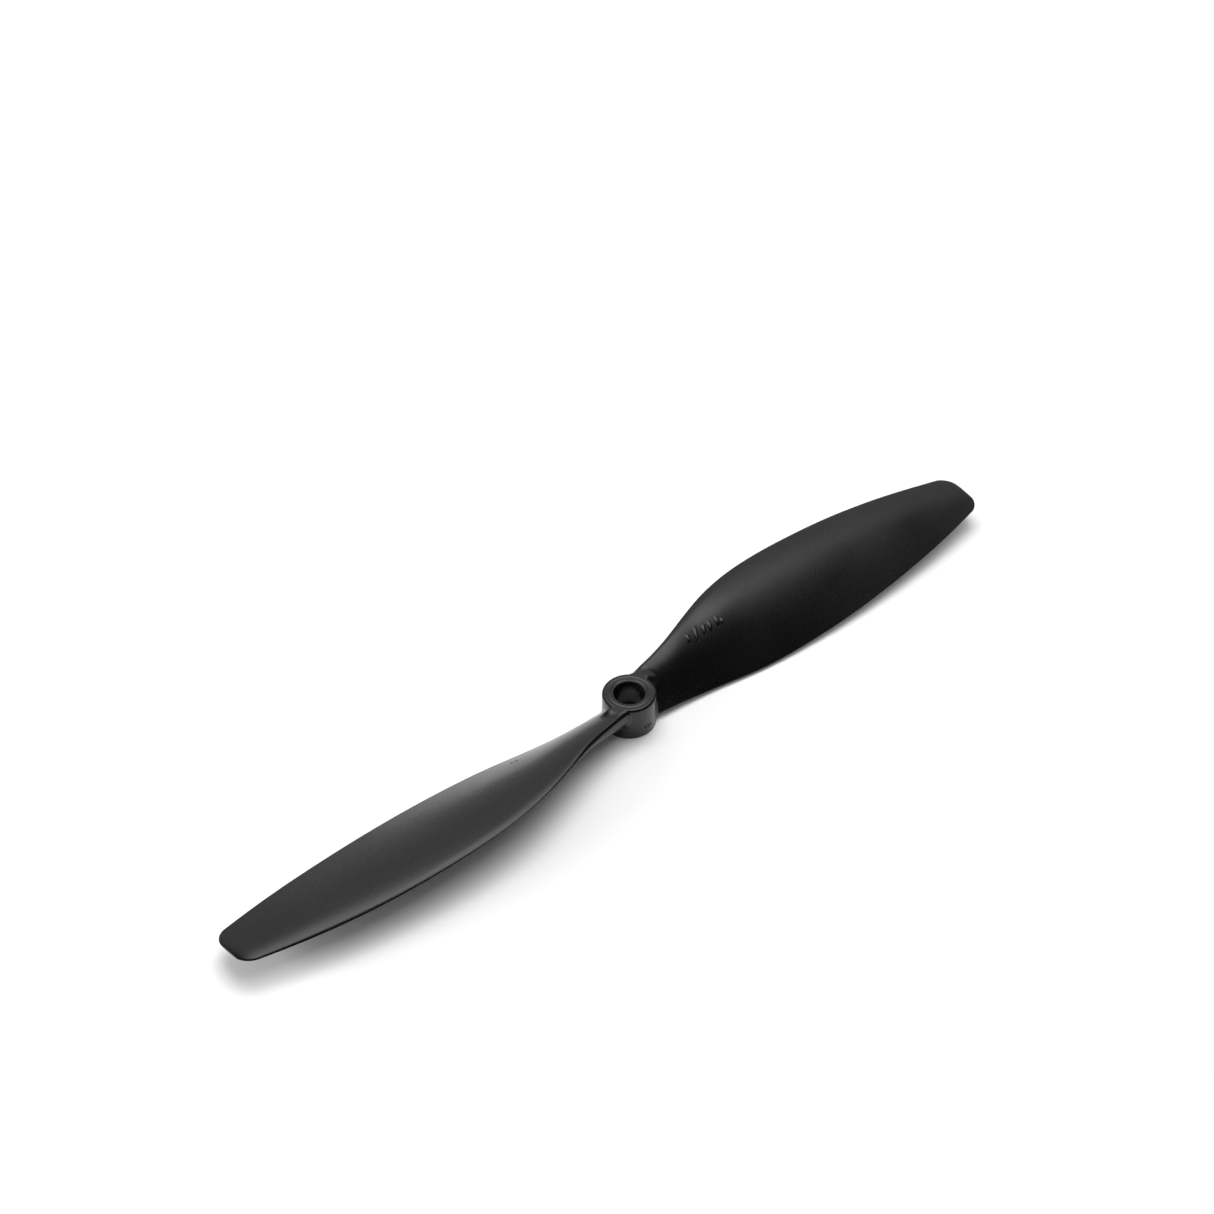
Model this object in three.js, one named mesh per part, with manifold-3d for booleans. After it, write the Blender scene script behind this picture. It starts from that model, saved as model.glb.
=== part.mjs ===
// Two-blade slow-fly propeller for a radio-controlled model, with the adapter ring that fits its
// bore to a thinner motor shaft. Millimetres, +Z up. The propeller lies on its rear hub face: the
// origin is on the shaft axis at that face, +Z points the way the air is drawn in from, and +X
// points at the tip of blade_a. Seen from the front it turns counter-clockwise.
import * as THREE from 'three';
import { mergeVertices } from 'three/addons/utils/BufferGeometryUtils.js';
import Module from 'manifold-3d';

const wasm = await Module();
wasm.setup();

// Driving dimensions
const TIP_RADIUS = 101.6;
const TIP_CORNER_RADIUS = 3;
const HUB_RADIUS = 5.7;
const HUB_HEIGHT = 8;
const BORE_RADIUS = 3.2;
const SHAFT_RADIUS = 3.0;
const SPLIT_GAP = 0.3;

// Hub details
const RIM_RADIUS = 0.5;
const BASE_CHAMFER = 0.15;
const BORE_CHAMFER = 0.25;
const FACE_GROOVE = { inner: 4.2, outer: 4.6, depth: 0.15 };
const RING_RECESS = { radius: 4.3, depth: 1.8 };
const HUB_SEGMENTS = 56;

// Adapter ring
const RING_CLEARANCE = 0.1;
const RING_RADIUS = RING_RECESS.radius - RING_CLEARANCE;
const RING_HEIGHT = RING_RECESS.depth - 2 * RING_CLEARANCE;
const RING_CHAMFER = 0.2;

// Blade. Each station lists, at its radius, the chord, the pitch angle in degrees, how far the
// middle of the chord is swept towards the leading edge, its height over the rear hub face, the
// crown of the upper surface as a share of the chord, the upright thickness at the middle, the
// leading edge and the trailing edge, the skew of the crown (1 when it is highest in the middle,
// less when that is nearer the leading edge), and the width of the round shoulder behind the
// leading edge. The chord runs from edge to edge of the upper surface.
const BLADE_STATIONS = [
	[3, 10.1, 39.6, 0.03, 4.95, 0.11, 3.6, 4.2, 0.4, 0.92, 1.4],
	[11, 12.2, 35.9, 0.33, 4.95, 0.11, 3.2, 2.8, 0.4, 0.92, 1.3],
	[17, 14.6, 33.3, 0.65, 5.05, 0.1, 2.7, 1.7, 0.4, 0.92, 1.3],
	[23, 17.35, 28.8, 1.12, 5.07, 0.09, 2.3, 1, 0.4, 0.9, 1.5],
	[30, 20.55, 24.6, 1.55, 5.1, 0.083, 2, 0.7, 0.4, 0.85, 1.8],
	[42, 23.35, 20.1, 1.92, 5.2, 0.072, 1.6, 0.5, 0.4, 0.85, 1.8],
	[56, 23.5, 16.8, 1.8, 5.25, 0.063, 1.4, 0.45, 0.4, 0.8, 1.5],
	[72, 21.2, 13.8, 1.45, 5.4, 0.057, 1.2, 0.4, 0.35, 0.75, 1],
	[88, 16.35, 10.8, 0.7, 5.6, 0.05, 1, 0.35, 0.35, 0.7, 0.6],
	[TIP_RADIUS, 10.2, 7.8, -0.12, 5.85, 0.03, 0.6, 0.3, 0.3, 0.7, 0.4],
];
const SHOULDER_DROP = 1.2;
const NOSE_SHARE = 0.12;
const FACE_CLEARANCE = 0.05;
const ROOT_FILLET = 1.2;
const FLUSH_REACH = 0.5;
const RAMP_REACH = 5;
const FILLET_SIDE_POWER = 5;
const ROOT_STEPS = 10;
const BLADE_STEPS = 17;
const TIP_STEPS = 5;
const CHORD_STEPS = 12;

const blackNylon = () => new THREE.MeshStandardMaterial({ color: 0x1b1b1d, roughness: 0.5, metalness: 0 });
const ringNylon = () => new THREE.MeshStandardMaterial({ color: 0x17171a, roughness: 0.42, metalness: 0 });

function toSolid(geometry) {
	const bare = geometry.clone();
	bare.deleteAttribute('normal');
	bare.deleteAttribute('uv');
	const merged = mergeVertices(bare, 1e-4);
	const vertProperties = new Float32Array(merged.attributes.position.array);
	const triVerts = new Uint32Array(merged.index.array);
	return new wasm.Manifold(new wasm.Mesh({ numProp: 3, vertProperties, triVerts }));
}

function toGeometry(solid) {
	const { vertProperties, triVerts } = solid.getMesh();
	const geometry = new THREE.BufferGeometry();
	geometry.setAttribute('position', new THREE.BufferAttribute(vertProperties, 3));
	geometry.setIndex(new THREE.BufferAttribute(triVerts, 1));
	geometry.computeVertexNormals();
	return geometry;
}

// A closed profile of [radius, height] pairs, turned about Z.
function turned(profile) {
	const points = [...profile, profile[0]].map(([radius, height]) => new THREE.Vector2(radius, height));
	return new THREE.LatheGeometry(points, HUB_SEGMENTS).rotateX(Math.PI / 2);
}

function quarterArc(centreRadius, centreHeight, radius, steps) {
	return Array.from({ length: steps + 1 }, (_, i) => {
		const angle = (i / steps) * (Math.PI / 2);
		return [centreRadius + radius * Math.cos(angle), centreHeight + radius * Math.sin(angle)];
	});
}

function hubGeometry() {
	return turned([
		[RING_RECESS.radius, 0],
		[HUB_RADIUS - BASE_CHAMFER, 0],
		[HUB_RADIUS, BASE_CHAMFER],
		...quarterArc(HUB_RADIUS - RIM_RADIUS, HUB_HEIGHT - RIM_RADIUS, RIM_RADIUS, 3),
		[FACE_GROOVE.outer, HUB_HEIGHT],
		[(FACE_GROOVE.inner + FACE_GROOVE.outer) / 2, HUB_HEIGHT - FACE_GROOVE.depth],
		[FACE_GROOVE.inner, HUB_HEIGHT],
		[BORE_RADIUS + BORE_CHAMFER, HUB_HEIGHT],
		[BORE_RADIUS, HUB_HEIGHT - BORE_CHAMFER],
		[BORE_RADIUS, RING_RECESS.depth],
		[RING_RECESS.radius, RING_RECESS.depth],
	]);
}

function ringGeometry() {
	const bottom = RING_CLEARANCE;
	const top = bottom + RING_HEIGHT;
	return turned([
		[SHAFT_RADIUS, bottom],
		[RING_RADIUS - RING_CHAMFER, bottom],
		[RING_RADIUS, bottom + RING_CHAMFER],
		[RING_RADIUS, top - RING_CHAMFER],
		[RING_RADIUS - RING_CHAMFER, top],
		[SHAFT_RADIUS, top],
	]);
}

const bladeDesign = new THREE.CubicInterpolant(
	BLADE_STATIONS.map(([radius]) => radius),
	BLADE_STATIONS.flatMap(([, ...values]) => values),
	BLADE_STATIONS[0].length - 1,
);

// The starts of equal steps between two values.
function evenSteps(from, to, count) {
	return Array.from({ length: count }, (_, i) => THREE.MathUtils.lerp(from, to, i / count));
}

// The radii of the blade's sections: close together at the root and round the tip's corners.
function sectionRadii() {
	const rootStart = BLADE_STATIONS[0][0];
	const rootEnd = 18;
	const tipStart = TIP_RADIUS - TIP_CORNER_RADIUS;
	const root = evenSteps(rootStart, rootEnd, ROOT_STEPS);
	const span = evenSteps(rootEnd, tipStart, BLADE_STEPS);
	const tip = Array.from({ length: TIP_STEPS + 1 }, (_, i) => {
		return tipStart + TIP_CORNER_RADIUS * Math.sin((i / TIP_STEPS) * (Math.PI / 2));
	});
	return [...root, ...span, ...tip];
}

// How far each end of the chord is drawn in by the tip's round corners.
function cornerInset(radius) {
	const past = Math.max(0, radius - (TIP_RADIUS - TIP_CORNER_RADIUS)) / TIP_CORNER_RADIUS;
	return TIP_CORNER_RADIUS * (1 - Math.sqrt(Math.max(0, 1 - past * past)));
}

// How far the surface stands out at a given distance from the hub wall. The fillet is fullest at
// the leading edge and half as large at the trailing edge.
function filletRise(distance, across) {
	const radius = ROOT_FILLET * THREE.MathUtils.lerp(0.5, 1, across);
	const reach = THREE.MathUtils.clamp((radius - distance) / radius, 0, 1);
	return radius * (1 - Math.sqrt(1 - reach * reach));
}

// How far the upper surface has climbed towards the hub's face: 1 on the ledge that runs flush
// into the face, and 0 away from the hub.
function rootRamp(distance, across) {
	const climbed = 1 - THREE.MathUtils.smoothstep(distance, FLUSH_REACH, FLUSH_REACH + RAMP_REACH);
	return climbed * THREE.MathUtils.smoothstep(across, 0.36, 0.6);
}

// How far the round shoulder behind the leading edge lies under the crown.
function shoulderDrop(fromLead, width, lead) {
	const past = THREE.MathUtils.clamp((width - fromLead) / width, 0, 1);
	return Math.min(0.46 * lead, SHOULDER_DROP) * (1 - Math.sqrt(1 - past * past));
}

// One unit section: across runs from the trailing edge (0) to the leading edge (1), and depth from
// the lower surface (0) to the upper surface (1), with a blunt point on each edge.
function unitSection() {
	const across = Array.from({ length: CHORD_STEPS + 1 }, (_, i) => {
		return (1 - Math.cos((i / CHORD_STEPS) * Math.PI)) / 2;
	});
	const lower = across.map((u) => new THREE.Vector2(u, 0));
	const upper = [...across].reverse().map((u) => new THREE.Vector2(u, 1));
	return new THREE.Shape([...lower, new THREE.Vector2(1, 0.5), ...upper, new THREE.Vector2(0, 0.5)]);
}

// Where a point of the unit section lies on the finished blade. The thickness hangs straight down
// from the upper surface, because both halves of the mould open along Z.
function bladePoint(across, depth, radius) {
	const station = bladeDesign.evaluate(radius);
	const [fullChord, pitch, sweep, rise, crown, middle, lead, trail, skew, shoulder] = station;
	const chord = fullChord - 2 * cornerInset(radius);
	const angle = THREE.MathUtils.degToRad(pitch);
	const along = (across - 0.5) * chord;
	const above = crown * chord * Math.sin(Math.PI * (1 - across) ** skew);
	const edge = THREE.MathUtils.lerp(trail, lead, across);
	const thickness = edge + Math.sin(Math.PI * across) * (middle - (trail + lead) / 2);
	const nose = depth === 0.5 ? NOSE_SHARE * edge : 0;
	const side = 2 * across - 1;

	const flatY = sweep + along * Math.cos(angle) - above * Math.sin(angle) + nose * side;
	const crownZ = rise + along * Math.sin(angle) + above * Math.cos(angle);
	const fromAxis = Math.hypot(radius, flatY);
	const fillet = filletRise(fromAxis - HUB_RADIUS, across);
	const y = flatY + fillet * side ** FILLET_SIDE_POWER * (radius / fromAxis) ** 2;
	const ledge = HUB_HEIGHT - FACE_CLEARANCE;
	const raised = fillet > 0 ? Math.max(crownZ, Math.min(crownZ + fillet, ledge)) : crownZ;
	const ramped = THREE.MathUtils.lerp(raised, ledge, rootRamp(fromAxis - HUB_RADIUS, across));
	const top = ramped - shoulderDrop((1 - across) * chord, shoulder, lead);
	const bottom = crownZ - thickness - fillet;
	return [radius, y, Math.max(THREE.MathUtils.lerp(bottom, top, depth), FACE_CLEARANCE)];
}

function bladeGeometry() {
	const radii = sectionRadii();
	const steps = radii.length - 1;
	const blank = new THREE.ExtrudeGeometry(unitSection(), { depth: 1, steps, bevelEnabled: false });
	const points = blank.attributes.position;
	for (let i = 0; i < points.count; i++) {
		const radius = radii[Math.round(points.getZ(i) * steps)];
		points.setXYZ(i, ...bladePoint(points.getX(i), points.getY(i), radius));
	}
	const innerEnd = HUB_RADIUS + SPLIT_GAP;
	const hubSpace = new THREE.CylinderGeometry(innerEnd, innerEnd, 4 * HUB_HEIGHT, HUB_SEGMENTS);
	hubSpace.rotateX(Math.PI / 2);
	return toGeometry(toSolid(blank).subtract(toSolid(hubSpace)));
}

function piece(name, geometry, material) {
	const mesh = new THREE.Mesh(geometry, material);
	mesh.name = name;
	return mesh;
}

const bladeA = piece('blade_a', bladeGeometry(), blackNylon());
const bladeB = piece('blade_b', bladeGeometry(), blackNylon());
bladeB.rotation.z = Math.PI;

const group = new THREE.Group();
group.name = 'propeller';
group.add(piece('hub', hubGeometry(), blackNylon()), bladeA, bladeB);
group.add(piece('shaft_adapter_ring', ringGeometry(), ringNylon()));

export default group;
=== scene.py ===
"""Looks of a two-blade slow-fly propeller with its shaft adapter ring, in Blender 4.5.

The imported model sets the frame: metres, +Z up, the shaft axis on Z, the rear hub face at z = 0 and
blade_a along +X. The hub, both blades and the adapter ring are modelled again here as fine meshes
of the same size, with the moulded marks as raised strokes of their own. Sizes inside the
sub-assemblies are in millimetres, and MM turns them into metres.
"""
import logging
import math
from dataclasses import dataclass, field
from enum import Enum

import bmesh
import bpy
import numpy as np
from mathutils import Matrix, Vector


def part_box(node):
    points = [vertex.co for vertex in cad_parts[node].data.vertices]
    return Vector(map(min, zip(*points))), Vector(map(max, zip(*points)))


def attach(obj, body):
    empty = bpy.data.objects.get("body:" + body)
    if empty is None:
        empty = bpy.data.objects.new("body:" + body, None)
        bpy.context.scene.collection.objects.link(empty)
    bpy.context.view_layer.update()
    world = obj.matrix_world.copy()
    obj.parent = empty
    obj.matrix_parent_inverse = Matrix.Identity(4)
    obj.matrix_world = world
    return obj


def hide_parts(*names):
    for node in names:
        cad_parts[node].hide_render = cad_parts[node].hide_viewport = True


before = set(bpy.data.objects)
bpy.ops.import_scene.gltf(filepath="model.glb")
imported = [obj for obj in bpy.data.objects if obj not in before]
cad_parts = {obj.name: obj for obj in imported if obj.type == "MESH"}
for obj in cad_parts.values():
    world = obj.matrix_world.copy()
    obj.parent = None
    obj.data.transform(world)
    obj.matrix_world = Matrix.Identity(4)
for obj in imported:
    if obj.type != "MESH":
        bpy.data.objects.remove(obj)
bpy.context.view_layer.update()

MM = 0.001

logging.basicConfig(level=logging.INFO, format="%(message)s")
log = logging.getLogger("propeller")

Triple = tuple[float, float, float]
Corner = tuple[float, float]

SHARP_DEGREES = 60
NOISE_RANGE = (0.3, 0.7)
BLUE_TINT = 1.08


class Body(Enum):
    """The bodies that the pieces ride on."""

    PROPELLER = "propeller"
    SHAFT_RING = "shaft_ring"


class Slot(Enum):
    """The record's material slots."""

    BLACK_NYLON = "black_nylon"
    RING_NYLON = "ring_nylon"


class Surface(Enum):
    """The four stretches of a blade's section, in order round it."""

    LOWER = "lower"
    LEADING = "leading"
    UPPER = "upper"
    TRAILING = "trailing"


def lerp(start: float, end: float, share: float) -> float:
    """Returns the value a share of the way from start to end."""
    return start + (end - start) * share


def smooth_step(share: float) -> float:
    """Returns a share from 0 to 1, eased at both ends."""
    clamped = min(1.0, max(0.0, share))
    return clamped * clamped * (3 - 2 * clamped)


def arc_drop(distance: float, radius: float) -> float:
    """How far a rounded edge has fallen away at a distance from the edge.

    Args:
        distance: distance from the edge.
        radius: radius of the rounding.

    Returns:
        0 beyond the rounding, and the whole radius at the edge itself.
    """
    if radius <= 0:
        return 0.0
    reach = min(1.0, max(0.0, (radius - distance) / radius))
    return radius * (1 - math.sqrt(1 - reach * reach))


# ---------------------------------------------------------------------------------------------
# Finishes
# ---------------------------------------------------------------------------------------------


class NodeSheet:
    """A material's nodes, laid out and linked by short calls."""

    def __init__(self, name: str) -> None:
        """Starts an empty node tree with its output.

        Args:
            name: the material's name.
        """
        self.material = bpy.data.materials.new(name)
        self.material.use_nodes = True
        self.tree = self.material.node_tree
        self.tree.nodes.clear()
        self.output = self.add("ShaderNodeOutputMaterial")
        self.shader = self.add("ShaderNodeBsdfPrincipled")
        self.link(self.shader.outputs["BSDF"], self.output.inputs["Surface"])

    def add(self, kind: str, **settings: object) -> bpy.types.Node:
        """Adds a node.

        Args:
            kind: the node's type.
            settings: properties to set on it.

        Returns:
            The new node.
        """
        node = self.tree.nodes.new(kind)
        for key, value in settings.items():
            setattr(node, key, value)
        return node

    def link(self, source: bpy.types.NodeSocket, target: bpy.types.NodeSocket) -> None:
        """Links an output to an input."""
        self.tree.links.new(source, target)

    def place(self) -> bpy.types.NodeSocket:
        """Returns the point on the object, in metres."""
        return self.add("ShaderNodeTexCoord").outputs["Object"]

    def noise(self, size_mm: float, detail: float, stretch: Triple = (1, 1, 1)) -> bpy.types.NodeSocket:
        """Adds a noise pattern.

        Args:
            size_mm: rough size of one patch.
            detail: how many finer layers lie on it.
            stretch: how the pattern is scaled along each axis.

        Returns:
            The noise's value, from 0 to 1.
        """
        mapping = self.add("ShaderNodeMapping")
        mapping.inputs["Scale"].default_value = stretch
        self.link(self.place(), mapping.inputs["Vector"])
        noise = self.add("ShaderNodeTexNoise")
        noise.inputs["Scale"].default_value = 1 / (size_mm * MM)
        noise.inputs["Detail"].default_value = detail
        self.link(mapping.outputs["Vector"], noise.inputs["Vector"])
        return noise.outputs["Fac"]

    def spread(self, value: bpy.types.NodeSocket, low: float, high: float) -> bpy.types.NodeSocket:
        """Maps a noise's usual range onto the range from low to high, and returns it."""
        node = self.add("ShaderNodeMapRange")
        node.inputs["From Min"].default_value = NOISE_RANGE[0]
        node.inputs["From Max"].default_value = NOISE_RANGE[1]
        node.inputs["To Min"].default_value = low
        node.inputs["To Max"].default_value = high
        self.link(value, node.inputs["Value"])
        return node.outputs["Result"]

    def bump(
        self, height: bpy.types.NodeSocket, depth_mm: float, onto: bpy.types.NodeSocket | None,
    ) -> bpy.types.NodeSocket:
        """Adds relief to the surface.

        Args:
            height: the relief, from 0 to 1.
            depth_mm: the height of the whole relief.
            onto: the normal that this relief adds to, if any.

        Returns:
            The new normal.
        """
        node = self.add("ShaderNodeBump")
        node.inputs["Strength"].default_value = 1.0
        node.inputs["Distance"].default_value = depth_mm * MM
        self.link(height, node.inputs["Height"])
        if onto is not None:
            self.link(onto, node.inputs["Normal"])
        return node.outputs["Normal"]


@dataclass(frozen=True)
class MouldedNylon:
    """Black nylon as it leaves the mould: satin, clouded by its flow and finely grained."""

    name: str
    dark: float
    light: float
    smooth: float
    rough: float
    specular: float
    flow_mm: float
    grain_mm: float
    grain_depth_mm: float
    waviness_depth_mm: float
    dust: float
    speck_spacing_mm: float = 4.5
    speck_share: float = 0.022

    def make(self) -> bpy.types.Material:
        """Returns the finish as a material."""
        sheet = NodeSheet(self.name)
        shader = sheet.shader
        clouds = sheet.noise(self.flow_mm, 3, (0.5, 1, 1))
        grain = sheet.noise(self.grain_mm, 2)
        waves = sheet.noise(self.flow_mm * 0.6, 1, (0.5, 1, 1))

        colour = sheet.add("ShaderNodeMix", data_type="RGBA")
        colour.inputs["A"].default_value = (self.dark, self.dark, self.dark * BLUE_TINT, 1)
        colour.inputs["B"].default_value = (self.light, self.light, self.light * BLUE_TINT, 1)
        sheet.link(sheet.spread(clouds, 0, 1), colour.inputs["Factor"])
        dusty = sheet.add("ShaderNodeMix", data_type="RGBA")
        dusty.inputs["B"].default_value = (self.dust, self.dust, self.dust, 1)
        sheet.link(colour.outputs["Result"], dusty.inputs["A"])
        sheet.link(self._specks(sheet), dusty.inputs["Factor"])
        sheet.link(dusty.outputs["Result"], shader.inputs["Base Color"])

        blend = sheet.add("ShaderNodeMath", operation="MULTIPLY_ADD")
        sheet.link(sheet.spread(grain, -0.5, 0.5), blend.inputs[0])
        blend.inputs[1].default_value = (self.rough - self.smooth) * 0.6
        sheet.link(sheet.spread(clouds, self.smooth, self.rough), blend.inputs[2])
        sheet.link(blend.outputs["Value"], shader.inputs["Roughness"])

        swell = sheet.bump(waves, self.waviness_depth_mm, None)
        sheet.link(sheet.bump(grain, self.grain_depth_mm, swell), shader.inputs["Normal"])
        shader.inputs["Specular IOR Level"].default_value = self.specular
        return sheet.material

    def _specks(self, sheet: NodeSheet) -> bpy.types.NodeSocket:
        """Returns where the few specks of dust lie, from 0 to 1."""
        cells = sheet.add("ShaderNodeTexVoronoi", feature="F1")
        cells.inputs["Scale"].default_value = 1 / (self.speck_spacing_mm * MM)
        sheet.link(sheet.place(), cells.inputs["Vector"])
        near = sheet.add("ShaderNodeMath", operation="LESS_THAN")
        near.inputs[1].default_value = self.speck_share
        sheet.link(cells.outputs["Distance"], near.inputs[0])
        return near.outputs["Value"]


@dataclass(frozen=True)
class PaleBoard:
    """The plain white board that the propeller lies on."""

    name: str = "pale_board"
    colour: float = 0.86
    clouding: float = 0.02
    cloud_mm: float = 30
    roughness: float = 0.85
    specular: float = 0.2

    def make(self) -> bpy.types.Material:
        """Returns the finish as a material."""
        sheet = NodeSheet(self.name)
        tint = sheet.add("ShaderNodeMix", data_type="RGBA")
        tint.inputs["A"].default_value = (self.colour, self.colour, self.colour, 1)
        tint.inputs["B"].default_value = (self.colour + self.clouding,) * 3 + (1,)
        sheet.link(sheet.spread(sheet.noise(self.cloud_mm, 2), 0, 1), tint.inputs["Factor"])
        sheet.link(tint.outputs["Result"], sheet.shader.inputs["Base Color"])
        sheet.shader.inputs["Roughness"].default_value = self.roughness
        sheet.shader.inputs["Specular IOR Level"].default_value = self.specular
        return sheet.material


BLACK_NYLON = MouldedNylon(
    name="black_nylon", dark=0.0032, light=0.0044, smooth=0.23, rough=0.29, specular=0.5, flow_mm=11,
    grain_mm=0.22, grain_depth_mm=0.004, waviness_depth_mm=0.02, dust=0.03,
)
RING_NYLON = MouldedNylon(
    name="ring_nylon", dark=0.007, light=0.009, smooth=0.28, rough=0.34, specular=0.5, flow_mm=4,
    grain_mm=0.16, grain_depth_mm=0.002, waviness_depth_mm=0.004, dust=0.03,
)


# ---------------------------------------------------------------------------------------------
# Workshop: from a bmesh to a piece
# ---------------------------------------------------------------------------------------------


def finish_piece(
    shape: bmesh.types.BMesh,
    name: str,
    material: bpy.types.Material,
    body: Body,
    stands_for: str | None = None,
) -> bpy.types.Object:
    """Turns a finished bmesh in millimetres into a piece of the propeller.

    Args:
        shape: the piece's shape, which is used up.
        name: the piece's name.
        material: its finish.
        body: the body that it rides on.
        stands_for: the CAD node that it replaces, if any.

    Returns:
        The new object.
    """
    bmesh.ops.transform(shape, matrix=Matrix.Scale(MM, 4), verts=shape.verts)
    bmesh.ops.recalc_face_normals(shape, faces=shape.faces)
    mesh = bpy.data.meshes.new(name)
    shape.to_mesh(mesh)
    shape.free()
    mesh.shade_smooth()
    mesh.set_sharp_from_angle(angle=math.radians(SHARP_DEGREES))
    mesh.materials.append(material)
    piece = bpy.data.objects.new(name, mesh)
    bpy.context.scene.collection.objects.link(piece)
    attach(piece, body.value)
    if stands_for is not None:
        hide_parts(stands_for)
    log.info("%s: %d faces", name, len(mesh.polygons))
    return piece


def turn_profile(corners: list[Corner], steps: int) -> bmesh.types.BMesh:
    """Turns a closed outline about the shaft axis.

    Args:
        corners: the outline's (radius, height) corners.
        steps: how many steps the full turn takes.

    Returns:
        The turned shape.
    """
    shape = bmesh.new()
    points = [shape.verts.new((radius, 0, height)) for radius, height in corners]
    edges = [shape.edges.new((points[i - 1], points[i])) for i in range(len(points))]
    bmesh.ops.spin(
        shape, geom=points + edges, cent=(0, 0, 0), axis=(0, 0, 1), angle=math.tau, steps=steps,
        use_merge=True,
    )
    bmesh.ops.recalc_face_normals(shape, faces=shape.faces)
    return shape


def round_ring(shape: bmesh.types.BMesh, corner: Corner, radius: float, segments: int) -> None:
    """Rounds one circular edge of a turned shape.

    Args:
        shape: the turned shape.
        corner: the edge's (radius, height).
        radius: radius of the rounding.
        segments: faces across the rounding.
    """
    def on_corner(vert: bmesh.types.BMVert) -> bool:
        """Says whether a vertex lies on the edge."""
        return abs(vert.co.xy.length - corner[0]) < 1e-4 and abs(vert.co.z - corner[1]) < 1e-4

    edges = [edge for edge in shape.edges if all(on_corner(vert) for vert in edge.verts)]
    bmesh.ops.bevel(
        shape, geom=edges, offset=radius, offset_type="OFFSET", segments=segments, profile=0.5,
        affect="EDGES", clamp_overlap=False, material=-1,
    )


# ---------------------------------------------------------------------------------------------
# Hub
# ---------------------------------------------------------------------------------------------


@dataclass
class HubMoulding:
    """The round hub: through bore, adapter recess at the rear, and a grooved and dished face."""

    radius: float
    height: float
    bore_radius: float = 3.2
    recess_radius: float = 4.3
    recess_depth: float = 1.8
    rim_radius: float = 0.6
    base_radius: float = 0.15
    groove_outer: float = 4.75
    groove_inner: float = 4.15
    groove_depth: float = 0.09
    dish_outer: float = 3.95
    dish_inner: float = 3.65
    dish_depth: float = 0.13
    bore_lip: float = 0.2
    foot_rounding: float = 0.1
    ring_rounding: float = 0.05
    bore_foot_rounding: float = 0.08
    steps: int = 192

    def build(self, finish: bpy.types.Material) -> bpy.types.Object:
        """Builds and dresses the hub.

        Args:
            finish: the hub's material.

        Returns:
            The hub.
        """
        top = self.height
        floor = top - self.dish_depth
        foot = (self.recess_radius, 0)
        groove = [
            (self.groove_outer, top),
            ((self.groove_outer + self.groove_inner) / 2, top - self.groove_depth),
            (self.groove_inner, top),
        ]
        dish = [(self.dish_outer, top), (self.dish_inner, floor)]
        lip = [(self.bore_radius + self.bore_lip, floor), (self.bore_radius, floor - self.bore_lip)]
        bore_foot = (self.bore_radius, self.recess_depth)
        outline = [
            foot,
            (self.radius, 0),
            (self.radius, top),
            *groove,
            *dish,
            *lip,
            bore_foot,
            (self.recess_radius, self.recess_depth),
        ]
        shape = turn_profile(outline, self.steps)
        round_ring(shape, (self.radius, top), self.rim_radius, 10)
        round_ring(shape, (self.radius, 0), self.base_radius, 3)
        round_ring(shape, foot, self.foot_rounding, 2)
        for corner in groove + dish + lip:
            round_ring(shape, corner, self.ring_rounding, 3)
        round_ring(shape, bore_foot, self.bore_foot_rounding, 2)
        return finish_piece(shape, "hub_moulding", finish, Body.PROPELLER, "hub")


# ---------------------------------------------------------------------------------------------
# Blades
# ---------------------------------------------------------------------------------------------


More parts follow.
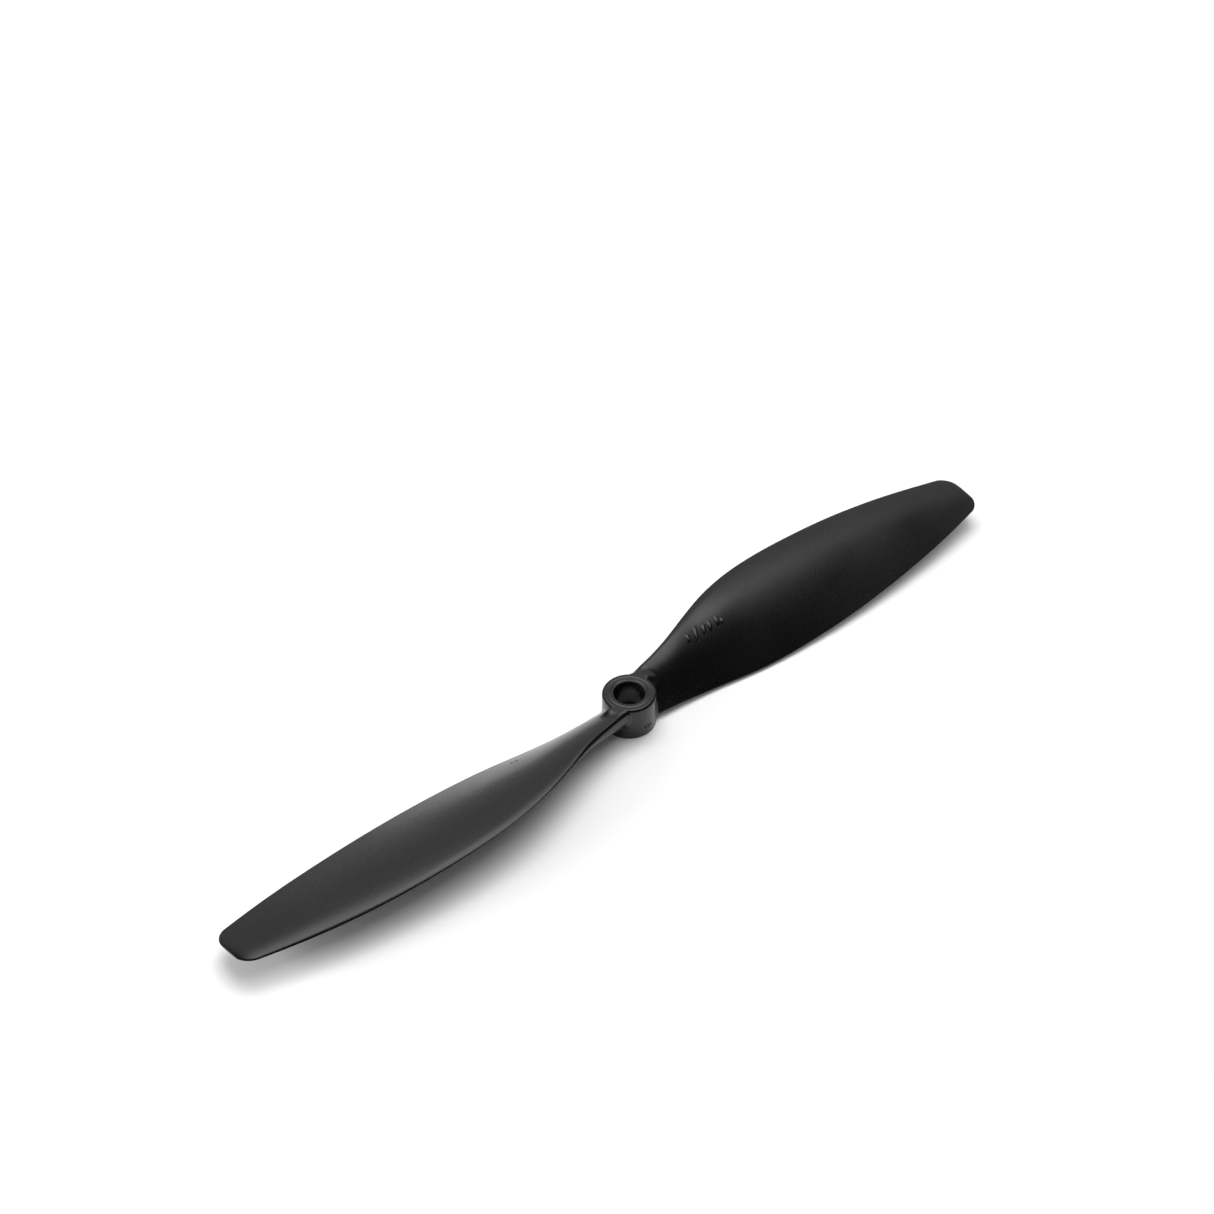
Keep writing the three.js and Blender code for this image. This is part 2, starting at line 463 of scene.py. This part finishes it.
@dataclass
class BladeDesign:
    """The blade's shape as a smooth function of the place along it.

    Each station lists, at its radius, the chord, the pitch angle in degrees, how far the middle of
    the chord is swept towards the leading edge, its height over the rear hub face, the crown of the
    upper surface as a share of the chord, the upright thickness at the middle, the leading edge and
    the trailing edge, the skew of the crown (1 when it is highest in the middle, less when that is
    nearer the leading edge), and the width of the round shoulder behind the leading edge. The chord
    runs from edge to edge of the upper surface.
    """

    tip_radius: float
    hub_radius: float
    hub_height: float
    tip_corner_radius: float = 3.0
    tip_edge_radius: float = 0.12
    edge_radius: float = 0.45
    shoulder_drop: float = 0.85
    trail_radius: float = 0.06
    lead_rounding_share: float = 0.46
    trail_upper_share: float = 0.2
    trail_lower_share: float = 0.75
    rounding_reach: float = 0.42
    nose_share: float = 0.12
    face_clearance: float = 0.05
    ledge_clearance: float = 0.004
    root_fillet: float = 0.9
    flush_reach: float = 0.5
    ramp_reach: float = 2.8
    ramp_start: float = 0.42
    ramp_width: float = 0.3
    flare_power: int = 5
    stations: list[list[float]] = field(default_factory=lambda: [
        [3, 10.1, 39.6, 0.03, 4.95, 0.11, 3.6, 4.2, 0.4, 0.92, 1.0],
        [11, 12.2, 35.9, 0.33, 4.95, 0.11, 3.2, 2.8, 0.4, 0.92, 0.95],
        [17, 14.6, 33.3, 0.65, 5.05, 0.1, 2.7, 1.7, 0.4, 0.92, 1.15],
        [23, 17.35, 28.8, 1.12, 5.07, 0.09, 2.3, 1, 0.4, 0.9, 1.5],
        [30, 20.55, 24.6, 1.55, 5.1, 0.083, 2, 0.7, 0.4, 0.85, 1.8],
        [42, 23.35, 20.1, 1.92, 5.2, 0.072, 1.6, 0.5, 0.4, 0.85, 1.8],
        [56, 23.5, 16.8, 1.8, 5.25, 0.063, 1.4, 0.45, 0.4, 0.8, 1.5],
        [72, 21.2, 13.8, 1.45, 5.4, 0.057, 1.2, 0.4, 0.35, 0.75, 1],
        [88, 16.35, 10.8, 0.7, 5.6, 0.05, 1, 0.35, 0.35, 0.7, 0.6],
        [101.6, 10.2, 7.8, -0.12, 5.85, 0.03, 0.6, 0.3, 0.3, 0.7, 0.4],
    ])

    def __post_init__(self) -> None:
        """Fits a natural cubic spline through the stations, so that curvature has no steps."""
        table = np.array(self.stations, float)
        self.at = table[:, 0]
        self.values = table[:, 1:]
        gaps = np.diff(self.at)
        slopes = np.diff(self.values, axis=0) / gaps[:, None]
        count = len(self.at)
        system = np.eye(count)
        right_side = np.zeros_like(self.values)
        for i in range(1, count - 1):
            system[i, i - 1:i + 2] = [gaps[i - 1], 2 * (gaps[i - 1] + gaps[i]), gaps[i]]
            right_side[i] = 6 * (slopes[i] - slopes[i - 1])
        self.bends = np.linalg.solve(system, right_side)

    def evaluate(self, radius: float) -> np.ndarray:
        """Returns the station values at a radius."""
        i = int(np.clip(np.searchsorted(self.at, radius) - 1, 0, len(self.at) - 2))
        gap = self.at[i + 1] - self.at[i]
        right = (radius - self.at[i]) / gap
        left = 1 - right
        curve = ((left**3 - left) * self.bends[i] + (right**3 - right) * self.bends[i + 1]) * gap**2 / 6
        return left * self.values[i] + right * self.values[i + 1] + curve

    def corner_inset(self, radius: float) -> float:
        """Returns how far each end of the chord is drawn in by the tip's round corners."""
        return arc_drop(self.tip_radius - radius, self.tip_corner_radius)

    def fillet(self, distance: float, across: float) -> float:
        """How far the surface stands out of the blade near the hub's wall.

        Args:
            distance: distance from the wall.
            across: 0 at the trailing edge, 1 at the leading edge.

        Returns:
            The rise of the upper surface, or the fall of the lower one.
        """
        return arc_drop(max(0.0, distance), self.root_fillet * lerp(0.5, 1, across))

    def ramp(self, distance: float, across: float) -> float:
        """How far the upper surface has climbed towards the hub's face, from 0 to 1.

        Args:
            distance: distance from the hub's wall.
            across: 0 at the trailing edge, 1 at the leading edge.

        Returns:
            1 on the ledge that runs flush into the hub's face, and 0 away from the hub.
        """
        climbed = 1 - smooth_step((distance - self.flush_reach) / self.ramp_reach)
        return climbed * smooth_step((across - self.ramp_start) / self.ramp_width)

    def point(self, surface: Surface, share: float, radius: float) -> Vector:
        """Where one point of the section lies on the finished blade.

        Args:
            surface: the stretch of the section that the point is on.
            share: the share of the way along that stretch, in order round the section.
            radius: distance from the shaft axis, along the blade.

        Returns:
            The point, in millimetres.
        """
        full_chord, pitch, sweep, rise, crown, middle, lead, trail, skew, shoulder = self.evaluate(radius)
        chord = full_chord - 2 * self.corner_inset(radius)
        angle = math.radians(pitch)
        tip_drop = arc_drop(self.tip_radius - radius, self.tip_edge_radius)
        side = {Surface.LEADING: 1, Surface.TRAILING: -1}.get(surface, 0)
        edge = (lead if side > 0 else trail) - 2 * tip_drop
        ends = self.edge_ends(lead - 2 * tip_drop, trail - 2 * tip_drop, shoulder)

        if side:
            inset, down = self._round_edge(share if side < 0 else 1 - share, edge, *ends[surface])
            across = 1 - inset / chord if side > 0 else inset / chord
            depth = 1 - down / edge
        else:
            depth = 0.0 if surface is Surface.LOWER else 1.0
            corner = int(1 - depth)
            start = ends[Surface.TRAILING][corner][0] / chord
            end = 1 - ends[Surface.LEADING][corner][0] / chord
            run = (1 - math.cos(math.pi * share)) / 2
            across = lerp(start, end, run if surface is Surface.LOWER else 1 - run)

        along = (across - 0.5) * chord
        above = crown * chord * math.sin(math.pi * (1 - across) ** skew)
        local_edge = lerp(trail, lead, across)
        thickness = local_edge + math.sin(math.pi * across) * (middle - (trail + lead) / 2)
        nose = self.nose_share * edge * (1 - abs(2 * depth - 1)) if side else 0.0

        y = sweep + along * math.cos(angle) - above * math.sin(angle) + nose * side
        top = rise + along * math.sin(angle) + above * math.cos(angle) - tip_drop
        bottom = top - thickness + 2 * tip_drop

        from_axis = math.hypot(radius, y)
        distance = from_axis - self.hub_radius
        fillet = self.fillet(distance, across)
        y += fillet * (2 * across - 1) ** self.flare_power * (radius / from_axis) ** 2
        if fillet > 0:
            top = max(top, min(top + fillet, self.hub_height - self.ledge_clearance))
        top = lerp(top, self.hub_height - self.ledge_clearance, self.ramp(distance, across))
        return Vector((radius, y, max(lerp(bottom - fillet, top, depth), self.face_clearance)))

    def edge_ends(self, lead: float, trail: float, shoulder: float) -> dict[Surface, tuple[Corner, Corner]]:
        """Returns the size of each edge's upper and lower rounding.

        Args:
            lead: height of the leading edge.
            trail: height of the trailing edge.
            shoulder: width of the round shoulder behind the leading edge.

        Returns:
            For each edge, its (width, height) roundings, the upper one first.
        """
        deepest = self.lead_rounding_share * lead
        lower = min(deepest, self.edge_radius)
        upper = (shoulder, min(deepest, self.shoulder_drop))
        crisp = min(self.trail_upper_share * trail, self.trail_radius)
        bevel = self.trail_lower_share * trail
        return {
            Surface.LEADING: (upper, (lower, lower)),
            Surface.TRAILING: ((crisp, crisp), (bevel, bevel)),
        }

    def _round_edge(self, share: float, edge: float, upper: Corner, lower: Corner) -> Corner:
        """A point of the upright edge, whose two corners are rounded.

        Args:
            share: 0 where the upper rounding starts, 1 where the lower rounding ends.
            edge: the edge's height.
            upper: the upper rounding's width and height.
            lower: the lower rounding's width and height.

        Returns:
            How far the point is drawn in from the edge, and how far it is below the upper surface.
        """
        reach = self.rounding_reach
        if share <= reach:
            turn = math.pi / 2 * share / reach
            return upper[0] * (1 - math.sin(turn)), upper[1] * (1 - math.cos(turn))
        if share >= 1 - reach:
            turn = math.pi / 2 * (1 - share) / reach
            return lower[0] * (1 - math.sin(turn)), edge - lower[1] * (1 - math.cos(turn))
        return 0.0, lerp(upper[1], edge - lower[1], (share - reach) / (1 - 2 * reach))


@dataclass
class Blade:
    """One blade: a round blank, stepped along its length and pressed to the blade's design."""

    name: str
    node: str
    design: BladeDesign
    turn: float
    root_depth: float = 0.6
    face_steps: int = 40
    edge_steps: int = 24
    root_stations: int = 40
    span_stations: int = 90
    tip_stations: int = 16
    tip_edge_stations: int = 4
    root_crowding: float = 1.6
    wall_end: float = 7.0
    root_end: float = 18.0
    least_radius: float = 2.0

    def section(self) -> list[tuple[Surface, float]]:
        """Returns the stretch and share of every point round the section."""
        counts = {
            Surface.LOWER: self.face_steps,
            Surface.LEADING: self.edge_steps,
            Surface.UPPER: self.face_steps,
            Surface.TRAILING: self.edge_steps,
        }
        return [(surface, i / count) for surface, count in counts.items() for i in range(count)]

    def radii(self) -> list[float]:
        """Returns the radius of every section, from inside the hub's wall to the tip."""
        start = self.design.hub_radius - self.root_depth
        tip_start = self.design.tip_radius - self.design.tip_corner_radius
        edge_start = self.design.tip_radius - self.design.tip_edge_radius
        crowding = [(i / self.root_stations) ** self.root_crowding for i in range(self.root_stations)]
        root = [lerp(start, self.root_end, share) for share in crowding]
        span = [lerp(self.root_end, tip_start, i / self.span_stations) for i in range(self.span_stations)]
        turn = math.pi / 2 / self.tip_stations
        corner = [lerp(tip_start, edge_start, math.sin(i * turn)) for i in range(self.tip_stations)]
        turn = math.pi / 2 / self.tip_edge_stations
        last = range(self.tip_edge_stations + 1)
        rounding = [lerp(edge_start, self.design.tip_radius, math.sin(i * turn)) for i in last]
        return root + span + corner + rounding

    def surface_point(self, surface: Surface, share: float, station: float) -> Vector:
        """Where a point lies, with the root's sections curved to follow the hub's wall.

        Args:
            surface: the stretch of the section.
            share: the share of the way along it.
            station: distance from the axis at the root, and along the blade further out.

        Returns:
            The point, in millimetres.
        """
        straight = smooth_step((station - self.wall_end) / (self.root_end - self.wall_end))
        radius = station
        for _ in range(4):
            y = self.design.point(surface, share, radius).y
            curved = math.sqrt(max(station**2 - y**2, self.least_radius**2))
            radius = lerp(curved, station, straight)
        return self.design.point(surface, share, radius)

    def build(self, finish: bpy.types.Material) -> bpy.types.Object:
        """Builds and dresses the blade.

        Args:
            finish: the blade's material.

        Returns:
            The blade.
        """
        section = self.section()
        radii = self.radii()
        shape = bmesh.new()
        bmesh.ops.create_cone(
            shape, cap_ends=True, cap_tris=False, segments=len(section), radius1=1, radius2=1, depth=1,
        )
        upright = [edge for edge in shape.edges if abs(edge.verts[0].co.z - edge.verts[1].co.z) > 0.5]
        bmesh.ops.subdivide_edges(shape, edges=upright, cuts=len(radii) - 2, use_grid_fill=True)
        for vert in shape.verts:
            angle = math.atan2(vert.co.y, vert.co.x) % math.tau
            surface, share = section[round(angle / math.tau * len(section)) % len(section)]
            station = radii[round((vert.co.z + 0.5) * (len(radii) - 1))]
            vert.co = self.surface_point(surface, share, station)
        bmesh.ops.rotate(shape, cent=(0, 0, 0), matrix=Matrix.Rotation(self.turn, 3, "Z"), verts=shape.verts)
        return finish_piece(shape, self.name, finish, Body.PROPELLER, self.node)


# ---------------------------------------------------------------------------------------------
# Adapter ring
# ---------------------------------------------------------------------------------------------


@dataclass
class AdapterRing:
    """The loose ring in the hub's rear recess."""

    bottom: float
    top: float
    radius: float
    hole_radius: float = 3.0
    outer_rounding: float = 0.2
    hole_rounding: float = 0.12
    steps: int = 160

    def build(self, finish: bpy.types.Material) -> bpy.types.Object:
        """Builds and dresses the ring.

        Args:
            finish: the ring's material.

        Returns:
            The ring.
        """
        corners = [
            (self.hole_radius, self.bottom),
            (self.radius, self.bottom),
            (self.radius, self.top),
            (self.hole_radius, self.top),
        ]
        shape = turn_profile(corners, self.steps)
        for corner in corners:
            rounding = self.outer_rounding if corner[0] == self.radius else self.hole_rounding
            round_ring(shape, corner, rounding, 4)
        return finish_piece(
            shape, "adapter_ring", finish, Body.SHAFT_RING, "shaft_adapter_ring",
        )


# ---------------------------------------------------------------------------------------------
# Moulded marks
# ---------------------------------------------------------------------------------------------


@dataclass
class MouldMarks:
    """Raised strokes from the mould, with no meaning of their own."""

    design: BladeDesign
    height: float = 0.46
    stroke_width: float = 0.84
    sunk: float = 0.5
    flank: float = 0.414
    flatten: float = 0.5
    strokes_at: Corner = (24.7, 3.7)
    blade_ticks_at: Corner = (27.6, -4.2)
    blade_ticks_flatten: float = 0.6
    hub_ticks_degrees: float = -87
    hub_ticks_height: float = 2.2
    hub_ticks_inset: float = 0.23

    def stroke(self, shape: bmesh.types.BMesh, start: Triple, end: Triple) -> list[bmesh.types.BMVert]:
        """Adds one straight stroke with sloping sides, lying flat at z = 0.

        Args:
            shape: the bmesh that it joins.
            start: one end's (x, y, 0).
            end: the other end's (x, y, 0).

        Returns:
            The stroke's vertices.
        """
        first, last = Vector(start), Vector(end)
        run = last - first
        before = set(shape.verts)
        made = bmesh.ops.create_cube(shape, size=1)
        size = (run.length + self.stroke_width, self.stroke_width, self.height + self.sunk)
        bmesh.ops.scale(shape, vec=size, verts=made["verts"])
        edges = list({edge for vert in made["verts"] for edge in vert.link_edges})
        bmesh.ops.bevel(
            shape, geom=edges, offset=self.flank, offset_type="OFFSET", segments=1, profile=0.5,
            affect="EDGES", clamp_overlap=True, material=-1,
        )
        verts = [vert for vert in shape.verts if vert not in before]
        place = Matrix.Translation((first + last) / 2 + Vector((0, 0, (self.height - self.sunk) / 2)))
        bmesh.ops.transform(
            shape, matrix=place @ Matrix.Rotation(math.atan2(run.y, run.x), 4, "Z"), verts=verts,
        )
        return verts

    def lay_on_blade(self, shape: bmesh.types.BMesh, radius: float, offset: float, turn: float) -> None:
        """Lays flat marks on a blade's upper surface.

        Args:
            shape: the marks, drawn about the origin with x along the blade.
            radius: where their middle lies along the blade.
            offset: where their middle lies across it, towards the leading edge.
            turn: the blade's turn about the shaft.
        """
        for vert in shape.verts:
            at = radius + vert.co.x
            vert.co = self._on_upper(at, offset + vert.co.y, vert.co.z * self.flatten)
        bmesh.ops.rotate(shape, cent=(0, 0, 0), matrix=Matrix.Rotation(turn, 3, "Z"), verts=shape.verts)

    def _on_upper(self, radius: float, y: float, lift: float) -> Vector:
        """Returns the point of the upper surface over (radius, y), lifted along z."""
        low, high = 0.0, 1.0
        for _ in range(24):
            share = (low + high) / 2
            if self.design.point(Surface.UPPER, share, radius).y > y:
                low = share
            else:
                high = share
        point = self.design.point(Surface.UPPER, share, radius)
        return Vector((radius, y, point.z + lift))

    def build(self, finish: bpy.types.Material) -> list[bpy.types.Object]:
        """Builds and dresses the marks.

        Args:
            finish: the marks' material.

        Returns:
            The pieces.
        """
        return [
            self._size_strokes(finish),
            self._blade_ticks(finish),
            self._hub_ticks(finish),
        ]

    def _size_strokes(self, finish: bpy.types.Material) -> bpy.types.Object:
        """Returns the row of strokes near the root of blade_a."""
        shape = bmesh.new()
        strokes = [
            ((-4.9, -0.9, 0), (-4.3, 0.8, 0)),
            ((-3.2, -1.4, 0), (-1.5, 1.4, 0)),
            ((-0.6, -0.9, 0), (0.5, 0.9, 0)),
            ((1.2, -1.1, 0), (2.1, 1.0, 0)),
            ((3.4, -0.8, 0), (4.2, 1.0, 0)),
            ((4.6, -1.0, 0), (5.0, -0.1, 0)),
        ]
        for start, end in strokes:
            self.stroke(shape, start, end)
        self.lay_on_blade(shape, *self.strokes_at, 0)
        return finish_piece(shape, "blade_a_strokes", finish, Body.PROPELLER)

    def _blade_ticks(self, finish: bpy.types.Material) -> bpy.types.Object:
        """Returns the small pair of ticks on blade_b."""
        shape = bmesh.new()
        self.stroke(shape, (-0.7, -0.5, 0), (0.1, 0.6, 0))
        self.stroke(shape, (0.7, -0.6, 0), (1.0, 0.3, 0))
        bmesh.ops.scale(shape, vec=(1, 1, self.blade_ticks_flatten), verts=shape.verts)
        self.lay_on_blade(shape, *self.blade_ticks_at, math.pi)
        return finish_piece(shape, "blade_b_ticks", finish, Body.PROPELLER)

    def _hub_ticks(self, finish: bpy.types.Material) -> bpy.types.Object:
        """Returns the three short upright ticks on the hub's side."""
        shape = bmesh.new()
        upright = Matrix.Rotation(math.radians(90), 4, "X")
        for x, tall in ((-0.75, 0.4), (0.0, 0.7), (0.75, 0.4)):
            self.stroke(shape, (x, -tall / 2, 0), (x, tall / 2, 0))
        bmesh.ops.transform(shape, matrix=upright, verts=shape.verts)
        wall = self.design.hub_radius
        for vert in shape.verts:
            around = vert.co.x / wall + math.radians(self.hub_ticks_degrees)
            outward = wall - vert.co.y - self.hub_ticks_inset
            height = vert.co.z + self.hub_ticks_height
            vert.co = Vector((outward * math.cos(around), outward * math.sin(around), height))
        return finish_piece(shape, "hub_ticks", finish, Body.PROPELLER)


# ---------------------------------------------------------------------------------------------
# Studio
# ---------------------------------------------------------------------------------------------


@dataclass(frozen=True)
class SoftLight:
    """A flat panel of even light, aimed at a point on the floor or hung level."""

    name: str
    forward: float
    right: float
    up: float
    width: float
    depth: float
    radiance: float
    glossy: bool = True
    level: bool = False

    def build(self, heading: float, centre: Vector) -> bpy.types.Object:
        """Hangs the light.

        Args:
            heading: the direction of forward, as an angle about Z.
            centre: the point on the floor that places are measured from.

        Returns:
            The light.
        """
        ahead = Vector((math.cos(heading), math.sin(heading), 0))
        rightward = Vector((math.sin(heading), -math.cos(heading), 0))
        place = centre + ahead * self.forward + rightward * self.right + Vector((0, 0, self.up))
        data = bpy.data.lights.new(self.name, "AREA")
        data.shape = "RECTANGLE"
        data.size = self.width
        data.size_y = self.depth
        data.energy = self.radiance * math.pi * self.width * self.depth
        lamp = bpy.data.objects.new(self.name, data)
        lamp.location = place
        if self.level:
            lamp.rotation_euler = (0, 0, heading - math.pi / 2)
        else:
            lamp.rotation_euler = (centre - place).to_track_quat("-Z", "Y").to_euler()
        lamp.visible_camera = False
        lamp.visible_glossy = self.glossy
        bpy.context.scene.collection.objects.link(lamp)
        return lamp


@dataclass
class Studio:
    """The board, the soft lights and the camera."""

    floor_size: float = 6.0
    surround: float = 0.25
    backdrop: float = 0.95
    camera_place: Triple = (-256.09, -283.14, 387.63)
    camera_aim: Triple = (19.23, 28.75, 0.25)
    lens: float = 76.94
    sensor: float = 36.0
    lights: tuple[SoftLight, ...] = (
        SoftLight("overhead_box", 0.155, -0.012, 0.4, width=0.396, depth=0.23, radiance=3.1, level=True),
        SoftLight("overhead_rim", 0.3, -0.0175, 0.4, width=0.42, depth=0.06, radiance=1.4, level=True),
        SoftLight("overhead_far", 0.375, 0.0, 0.4, width=0.6, depth=0.09, radiance=0.72, level=True),
        SoftLight("overhead_glow", 0.51, 0.0, 0.4, width=0.8, depth=0.18, radiance=0.55, level=True),
        SoftLight("back_wall", 0.9, 0.1, 0.3, width=1.6, depth=0.6, radiance=0.5),
        SoftLight("left_wall", 0.2, -0.95, 0.35, width=1.0, depth=0.6, radiance=0.45),
        SoftLight("wash", 0.12, 0.15, 0.9, width=0.9, depth=0.8, radiance=2.1, glossy=False),
        SoftLight("left_fill", -0.22, -0.77, 0.2, width=0.5, depth=0.3, radiance=15, glossy=False),
    )

    def build(self) -> None:
        """Sets up the whole studio."""
        self._camera()
        self._floor()
        self._surround()
        heading = math.atan2(
            self.camera_aim[1] - self.camera_place[1], self.camera_aim[0] - self.camera_place[0],
        )
        for light in self.lights:
            light.build(heading, Vector((0, 0, 0)))
        settings = bpy.context.scene.view_settings
        settings.view_transform = "Standard"
        settings.look = "None"

    def _camera(self) -> None:
        """Places the camera."""
        data = bpy.data.cameras.new("studio_camera")
        data.lens = self.lens
        data.sensor_width = self.sensor
        data.clip_start = 0.01
        camera = bpy.data.objects.new("studio_camera", data)
        camera.location = Vector(self.camera_place) * MM
        aim = (Vector(self.camera_aim) - Vector(self.camera_place)) * MM
        camera.rotation_euler = aim.to_track_quat("-Z", "Y").to_euler()
        bpy.context.scene.collection.objects.link(camera)
        bpy.context.scene.camera = camera

    def _floor(self) -> None:
        """Lays the board under the propeller."""
        shape = bmesh.new()
        bmesh.ops.create_grid(shape, x_segments=2, y_segments=2, size=self.floor_size / 2)
        mesh = bpy.data.meshes.new("floor")
        shape.to_mesh(mesh)
        shape.free()
        mesh.materials.append(PaleBoard().make())
        floor = bpy.data.objects.new("floor", mesh)
        bpy.context.scene.collection.objects.link(floor)

    def _surround(self) -> None:
        """Makes the world: pale where it is seen directly, dimmer as a light, and without a gleam."""
        world = bpy.data.worlds.new("studio_surround")
        world.use_nodes = True
        tree = world.node_tree
        background = tree.nodes["Background"]
        background.inputs["Color"].default_value = (1, 1, 1, 1)
        path = tree.nodes.new("ShaderNodeLightPath")
        strength = tree.nodes.new("ShaderNodeMix")
        strength.inputs["A"].default_value = self.surround
        strength.inputs["B"].default_value = self.backdrop
        tree.links.new(path.outputs["Is Camera Ray"], strength.inputs["Factor"])
        tree.links.new(strength.outputs["Result"], background.inputs["Strength"])
        world.cycles_visibility.glossy = False
        bpy.context.scene.world = world


def main() -> None:
    """Builds the studio and every piece of the propeller."""
    Studio().build()
    black = BLACK_NYLON.make()
    hub_low, hub_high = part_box("hub")
    blade_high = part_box("blade_a")[1]
    ring_low, ring_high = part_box("shaft_adapter_ring")
    hub = HubMoulding(radius=hub_high.x / MM, height=hub_high.z / MM)
    hub.build(black)
    design = BladeDesign(tip_radius=blade_high.x / MM, hub_radius=hub.radius, hub_height=hub.height)
    Blade("blade_a_moulding", "blade_a", design, turn=0).build(black)
    Blade("blade_b_moulding", "blade_b", design, turn=math.pi).build(black)
    ring = AdapterRing(bottom=ring_low.z / MM, top=ring_high.z / MM, radius=ring_high.x / MM)
    ring.build(RING_NYLON.make())
    MouldMarks(design).build(black)


if __name__ == "__main__":
    main()
